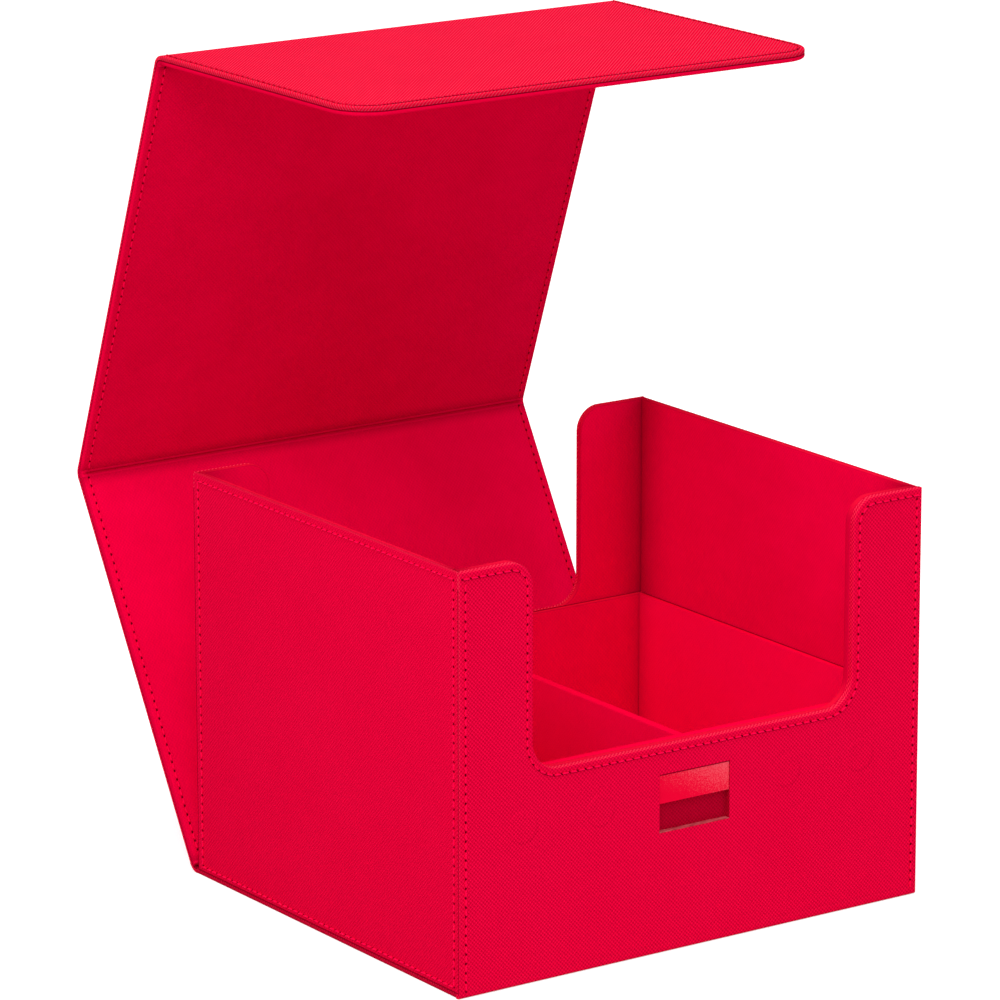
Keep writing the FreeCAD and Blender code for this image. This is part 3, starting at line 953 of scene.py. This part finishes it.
def strip(name, low, high, place, material, slot="leatherette"):
    """A soft-edged strip between two corners: a painted shadow deep in a joint, or a bare cut
    edge.
    """
    deselect()
    bpy.ops.mesh.primitive_cube_add(size=1, location=(Vector(low) + Vector(high)) / 2)
    piece = fresh(name)
    mode("EDIT")
    bpy.ops.transform.resize(value=Vector(high) - Vector(low))
    select_all()
    bevel(STRIP_EDGE, 2)
    mode("OBJECT")
    settle()
    put(piece, place)
    dress(piece, material, "case", slot)


STRIP_EDGE = 0.08 * MM
JOINT = 0.2 * MM            # half the width of a joint's painted shadow strip
JOINT_DEPTH = (0.16 * MM, 0.6 * MM)     # from where to where it lies behind the wall's face
JOINT_TOP = 6 * MM          # how far below the wall's top it ends
front_joint = front_low.y + COVERING
rear_joint = rear_high.y - COVERING
HERE = Matrix.Identity(4)
# painted shadows: dark strips in the grooves where the side walls' skins meet the front, rear and
# bottom skins
for side, face, way in (("left", left_low.x, 1), ("right", right_high.x, -1)):
    near_x, far_x = sorted(face + way * depth for depth in JOINT_DEPTH)
    top = CASE_HEIGHT - JOINT_TOP
    strip("front_glue_" + side, (near_x, front_joint - JOINT, FOOT_ROLL),
          (far_x, front_joint + JOINT, top), HERE, SHADOW_STRIP)
    strip("rear_glue_" + side, (near_x, rear_joint - JOINT, BASE_EDGE),
          (far_x, rear_joint + JOINT, top), HERE, SHADOW_STRIP)
    strip("base_glue_" + side, (near_x, front_joint, BASE_EDGE - JOINT),
          (far_x, rear_joint, BASE_EDGE + JOINT), HERE, SHADOW_STRIP)
# painted shadow: a dark strip along the window's top edge, over the plate's top
strip("window_lip", (WINDOW_LOW.x + 0.1 * MM, plate_high.y - 0.25 * MM, 0.3 * MM),
      (WINDOW_HIGH.x - 0.1 * MM, WINDOW_HIGH.y - 0.05 * MM, plate_low.z + 0.1 * MM),
      PLACES["front"], SHADOW_STRIP)

TRAY_BACK = 0.2 * MM        # how far the window's lining lies behind the wall's face
TRAY_WALL = 0.08 * MM
TRAY_FLOOR = 0.1 * MM


def window_tray():
    """The skin that lines the window's opening behind and round the plate, darkened by painted
    shade.
    """
    deselect()
    low = WINDOW_LOW + Vector((0, 0, TRAY_BACK))
    high = WINDOW_HIGH - Vector((0, 0, 0.02 * MM))
    bpy.ops.mesh.primitive_cube_add(size=1, location=(low + high) / 2)
    tray = fresh("window_lining")
    mode("EDIT")
    bpy.ops.transform.resize(value=high - low)
    choose(tray, "faces", lambda f: f.normal.z < -0.9)
    bpy.ops.mesh.inset(thickness=TRAY_WALL, depth=0.0)
    extrude(high.z - low.z - TRAY_FLOOR)
    mode("OBJECT")
    settle()
    lay_uv(tray)
    put(tray, PLACES["front"])
    dress(tray, WINDOW_LEATHERETTE_SHADED, "case", "leatherette")


window_tray()
strip("window_sill", WINDOW_LOW + Vector((0.1 * MM, 0.05 * MM, 0.12 * MM)),
      (WINDOW_HIGH.x - 0.1 * MM, WINDOW_SILL + 0.3 * MM, WINDOW_HIGH.z - 0.15 * MM),
      PLACES["front"], CUT_EDGE, "greyboard")


# ---- insert

INSERT = {"insert_front": 180, "insert_rear": 0, "insert_left": 90, "insert_right": -90,
          "divider_left": -90, "divider_right": 90}
for node, yaw in INSERT.items():
    low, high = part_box(node)
    middle = (low + high) / 2
    place = wall_place((middle.x, middle.y, 0), yaw)
    low, high = local_box(node, place)
    wall = panel(node + "_suede", low, high, low.z, high.z, (LINING_ROLL, LINING_ROLL))
    lay_uv(wall)
    if node.startswith("insert"):
        mark_corner_shade(wall, 0, (-high.x, high.x), INSERT_CORNER, 0.6)
    mark_rim(wall, place, low.z, top=high.z)
    # painted shade: the insert's rear wall keeps the darker suede of the case
    finish(wall, place, SUEDE if node == "insert_rear" else INSERT_SUEDE, "case",
           "suede_lining", [node])

RIM_JOINT_SINK = 0.8 * MM   # the painted shadow strip round the insert's rim: how deep it goes, how far it stands over the rim, from where to where it lies behind the rim, and how wide it is at the sides
RIM_JOINT_RISE = 0.06 * MM  # how far it stands over the rim,
REAR_JOINT = (1.3 * MM, 2.25 * MM)      # from where to where it lies behind the rim,
SIDE_JOINT = 0.9 * MM       # and how wide it is at the sides
rim_low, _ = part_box("insert_left")
_, rim_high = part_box("insert_right")
under, over = rim_high.z - RIM_JOINT_SINK, rim_high.z + RIM_JOINT_RISE
RIM_JOINTS = {
    "rear": ((rim_low.x, rim_high.y + REAR_JOINT[0], under),
             (rim_high.x, rim_high.y + REAR_JOINT[1], over)),
    "left": ((rim_low.x, rim_low.y, under), (rim_low.x + SIDE_JOINT, rim_high.y, over)),
    "right": ((rim_high.x - SIDE_JOINT, rim_low.y, under), (rim_high.x, rim_high.y, over)),
}
# painted shadows: dark strips where the insert's rim meets the wall linings
for side, (start, end) in RIM_JOINTS.items():
    strip("insert_joint_" + side, start, end, HERE, SHADOW_STRIP)


# ---- folding cover

BODIES = {"back": "back_panel", "lid": "lid_panel", "flap": "front_flap"}
LENGTHS = {
    "back": (CREASES["lid_crease_rear"] - CREASES["rear_crease_high"]).length,
    "lid": (CREASES["flap_crease_rear"] - CREASES["lid_crease_front"]).length,
}
for name, body in BODIES.items():
    place = PLACES[name]
    low, high = local_box(name + "_skin", place)
    length = LENGTHS.get(name, high.y)
    ends = ("low",) if name == "flap" else ("low", "high")
    corner = FLAP_CORNER if name == "flap" else 0.0
    skin = panel(name + "_leather", (low.x, 0), (high.x, length), low.z, high.z, (ROLL, TUCK),
                 ends=ends, corner=corner, seam=FLAP_SEAM, recess=True)
    lay_uv(skin)
    if name == "flap":
        # painted shade on the flap's rim, reaching deeper into its side band
        mark_rim(skin, place, low.z, depth=0.9 * MM, joints=[high.z], shade=0.4, highlight_focus=2.0)
    else:
        mark_rim(skin, place, low.z, joints=[high.z])
    finish(skin, place, FLAP_LEATHERETTE if name == "flap" else LEATHERETTE, body, "leatherette",
          [name + "_skin"])

    inner_low, inner_high = local_box(name + "_lining", place)
    lining = panel(name + "_suede", (inner_low.x, 0), (inner_high.x, length), inner_low.z,
                   inner_high.z, (TUCK, LINING_ROLL), ends=ends, corner=corner,
                   seam=COVER_SEAM, seam_side="inner")
    lay_uv(lining)
    mark_corner_shade(lining, 1, (0.0, length) if len(ends) == 2 else (0.0,), COVER_CORNER, 0.8)
    mark_rim(lining, place, inner_low.z, top=inner_high.z, joints=[inner_low.z])
    finish(lining, place, SUEDE if name == "back" else LID_SUEDE, body, "suede_lining",
          [name + "_lining"])

    for face, z, outward, inset in (("outer", low.z, True, FLAP_SEAM),
                                    ("inner", inner_high.z, False, COVER_SEAM)):
        side = high.x - inset
        if name == "flap":
            corners = [(-side, SEAM_START), (-side, length - inset), (side, length - inset),
                       (side, SEAM_START)]
            radius = FLAP_CORNER - inset
            runs = [(corners, [0, radius, radius, 0])]
        else:
            runs = [([(s, SEAM_START), (s, length - SEAM_START)], [0, 0])
                    for s in (-side, side)]
        for k, (corners, radii) in enumerate(runs):
            sew("%s_%s_seam_%d" % (name, face, k), place, body, "leatherette",
                rounded_path(corners, radii, closed=False), z, outward,
                LINING_THREAD if not outward else FLAP_THREAD if name == "flap" else THREAD,
                shadow=1 if name == "flap" and outward else None)


# ---- folds

def press_crease(piece, angle, radius, z_inner):
    """Presses the lining's inner face outwards towards the middle of the fold."""
    for step, depth in enumerate((0.5 * MM, 0.35 * MM, 0.2 * MM)):
        turn = angle * (1 - step / FOLD_STEPS)
        out = Vector((0, math.sin(turn), -math.cos(turn)))

        def at_ring(vertex):
            here = math.atan2(vertex.co.y, radius - vertex.co.z)
            reach = math.hypot(vertex.co.y, radius - vertex.co.z)
            return (near(here, turn, 1e-3) and near(reach, radius - z_inner)
                    and abs(vertex.co.x) < CREASE_END + 1e-6)

        choose(piece, "verts", at_ring)
        bpy.ops.transform.translate(value=out * depth)


def fold_layer(name, place, sign, angle, radius, z_outer, z_inner, rolls, material,
               slot, replaced):
    """Half of a soft fold: the layer's cross-section, spun from its crease to the web's middle.

    sign is 1 where the fold lies beyond the panel's far end and -1 before its near end."""
    deselect()
    bpy.ops.mesh.primitive_plane_add(size=1, rotation=(math.pi / 2, 0, 0),
                                     location=(0, 0, (z_outer + z_inner) / 2))
    piece = fresh(name)
    settle()
    mode("EDIT")
    bpy.ops.transform.resize(value=(2 * HALF_WIDTH, 1, z_inner - z_outer),
                             center_override=(0, 0, (z_outer + z_inner) / 2))
    for z, roll in ((z_outer, rolls[0]), (z_inner, rolls[1])):
        choose(piece, "verts", lambda v: near(v.co.z, z) and abs(v.co.x) > HALF_WIDTH - 1e-6)
        bevel(roll, 4, "VERTICES")
    select_all()
    bpy.ops.mesh.spin(steps=FOLD_STEPS, angle=-sign * angle, center=(0, 0, radius),
                      axis=(1, 0, 0), dupli=False)
    select_all()
    bpy.ops.mesh.remove_doubles(threshold=1e-6)
    face_outwards()
    if slot == "suede_lining":
        for end in (-CREASE_END, CREASE_END):
            split((end, 0, 0), (1, 0, 0))
        press_crease(piece, sign * angle, radius, z_inner)
    mode("OBJECT")

    def unroll(point):
        turn = math.atan2(point.y, radius - point.z)
        depth = radius - math.hypot(point.y, radius - point.z)
        return Vector((point.x, turn * radius, depth))

    lay_uv(piece, unroll)
    # painted shade in the groove between the layers, and on the lining a band along the crease's
    # valley
    if slot == "leatherette":
        mark_rim(piece, place, z_outer, unroll, joints=[z_inner])
    else:
        mark_rim(piece, place, z_outer, unroll, top=z_inner, joints=[z_outer],
                 valley=sign * angle * radius)
    smooth(piece)
    put(piece, place)
    paint(piece, material)
    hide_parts(*replaced)
    start = place @ Vector((0, 0, CREASE_DEPTH))
    leg = Matrix.Rotation(sign * angle, 4, "X") @ Vector((0, sign, 0))
    end = start + place.to_3x3() @ leg * (WEB / 2)
    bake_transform(piece)


def shifted(place, y):
    return place @ Matrix.Translation((0, y, 0))


THIN_LINING = 1.6 * MM      # the lining under the rear fold is thinner by this much
outer = local_box("back_skin", PLACES["back"])[1].z
inner = local_box("back_lining", PLACES["back"])[1].z
FOLDS = [
    ("rear_fold", "rear_hinge", ("bottom", CASE_FAR, "case"), ("back", 0.0, "back_panel"), 30),
    ("lid_fold", "lid_hinge", ("back", LENGTHS["back"], "back_panel"),
     ("lid", 0.0, "lid_panel"), 25),
    ("flap_fold", "flap_hinge", ("lid", LENGTHS["lid"], "lid_panel"),
     ("flap", 0.0, "front_flap"), 35),
]
for node, hinge, before, after, degrees in FOLDS:
    angle = math.radians(degrees)
    radius = WEB / (2 * math.sin(angle)) + CREASE_DEPTH
    for tag, (panel_name, at, body), sign in (("near", before, 1), ("far", after, -1)):
        place = shifted(PLACES[panel_name], at)
        cover = FLAP_LEATHERETTE if node == "flap_fold" else LEATHERETTE
        fold_layer("%s_leather_%s" % (node, tag), place, sign, angle, radius, 0.0, outer,
                   (ROLL, TUCK), cover, "leatherette", [node])
        thin = THIN_LINING if (node, tag) == ("rear_fold", "near") else 0.0
        fold_layer("%s_suede_%s" % (node, tag), place, sign, angle, radius, outer, inner - thin,
                   (TUCK, min(LINING_ROLL, (inner - thin - outer) * 0.45)), SUEDE,
                   "suede_lining", [node])

bpy.data.objects.remove(DASH)
bpy.data.objects.remove(DENT)


# ---- carried-over CAD nodes

for node, thing in frame["nodes"].items():
    if node.endswith("_board"):
        finish = GREYBOARD
    elif node == "nameplate":
        finish = PLATE_METAL
    elif node.endswith("_magnets"):
        finish = MAGNET_STEEL
    else:
        continue
    paint(thing, finish)


# ---- studio

WORLD_LIGHT = 0.555
LAMP_AIM = Vector((0, 0, 0.12))


def make_floor():
    deselect()
    bpy.ops.mesh.primitive_plane_add(size=12, location=(0, 0, -0.02 * MM))
    floor_piece = fresh("studio_floor")
    nodes = Nodes("studio_floor")
    rays = nodes.add("ShaderNodeLightPath")
    seen = nodes.math("MAXIMUM", rays.outputs["Is Camera Ray"],
                      nodes.math("MAXIMUM", rays.outputs["Is Glossy Ray"],
                                 rays.outputs["Is Transmission Ray"]))
    colour = nodes.mix(seen, (0.7, 0.7, 0.7, 1), (0.75, 0.75, 0.75, 1))
    nodes.surface(Base_Color=colour, Roughness=1.0, Specular_IOR_Level=0.0,
                  Emission_Color=(1, 1, 1, 1),
                  Emission_Strength=nodes.times(seen, 0.58))
    floor_piece.data.materials.append(nodes.material)


def make_world():
    """Even light round the box, which the camera sees as plain white."""
    world = bpy.data.worlds.new("studio")
    bpy.context.scene.world = world
    world.use_nodes = True
    tree = world.node_tree
    soft = tree.nodes["Background"]
    white = tree.nodes.new("ShaderNodeBackground")
    for background, strength in ((soft, WORLD_LIGHT), (white, 1.0)):
        background.inputs["Color"].default_value = (1, 1, 1, 1)
        background.inputs["Strength"].default_value = strength
    rays = tree.nodes.new("ShaderNodeLightPath")
    seen = tree.nodes.new("ShaderNodeMath")
    seen.operation = "MAXIMUM"
    glossy = tree.nodes.new("ShaderNodeMath")
    glossy.operation = "MAXIMUM"
    mix = tree.nodes.new("ShaderNodeMixShader")
    for value, socket in (
            (rays.outputs["Is Camera Ray"], seen.inputs[0]),
            (rays.outputs["Is Glossy Ray"], glossy.inputs[0]),
            (rays.outputs["Is Transmission Ray"], glossy.inputs[1]),
            (glossy.outputs[0], seen.inputs[1]),
            (seen.outputs[0], mix.inputs[0]),
            (soft.outputs[0], mix.inputs[1]),
            (white.outputs[0], mix.inputs[2]),
            (mix.outputs[0], tree.nodes["World Output"].inputs["Surface"])):
        tree.links.new(value, socket)


def add_lamp(name, spot, size, power):
    lamp = bpy.data.lights.new(name, "AREA")
    lamp.shape = "DISK"
    lamp.size = size
    lamp.energy = power
    thing = bpy.data.objects.new(name, lamp)
    bpy.context.scene.collection.objects.link(thing)
    aim = (LAMP_AIM - Vector(spot)).to_track_quat("-Z", "Y")
    thing.matrix_world = Matrix.Translation(spot) @ aim.to_matrix().to_4x4()


def add_camera():
    data = bpy.data.cameras.new("camera")
    data.sensor_width = 36.0
    data.lens = 212.34
    thing = bpy.data.objects.new("camera", data)
    bpy.context.scene.collection.objects.link(thing)
    azimuth, elevation = math.radians(-35.024), math.radians(14.684)
    back = Vector((math.sin(azimuth) * math.cos(elevation),
                   -math.cos(azimuth) * math.cos(elevation), math.sin(elevation)))
    thing.matrix_world = (Matrix.Translation((-1.23035, -1.71959, 0.70363))
                          @ (-back).to_track_quat("-Z", "Y").to_matrix().to_4x4())
    data.clip_start = 0.05
    data.clip_end = 50.0
    bpy.context.scene.camera = thing


make_floor()
make_world()
add_lamp("overhead", (-0.8, -1.0, 4.28), 3.2, 80)
add_lamp("front_left", (-2.4, -2.8, 3.28), 2.0, 56)
add_lamp("left", (-3.8, -0.4, 3.08), 2.0, 36)
add_lamp("front_right", (1.8, -3.6, 1.2), 2.0, 12)
add_camera()
bpy.context.scene.view_settings.view_transform = "Standard"
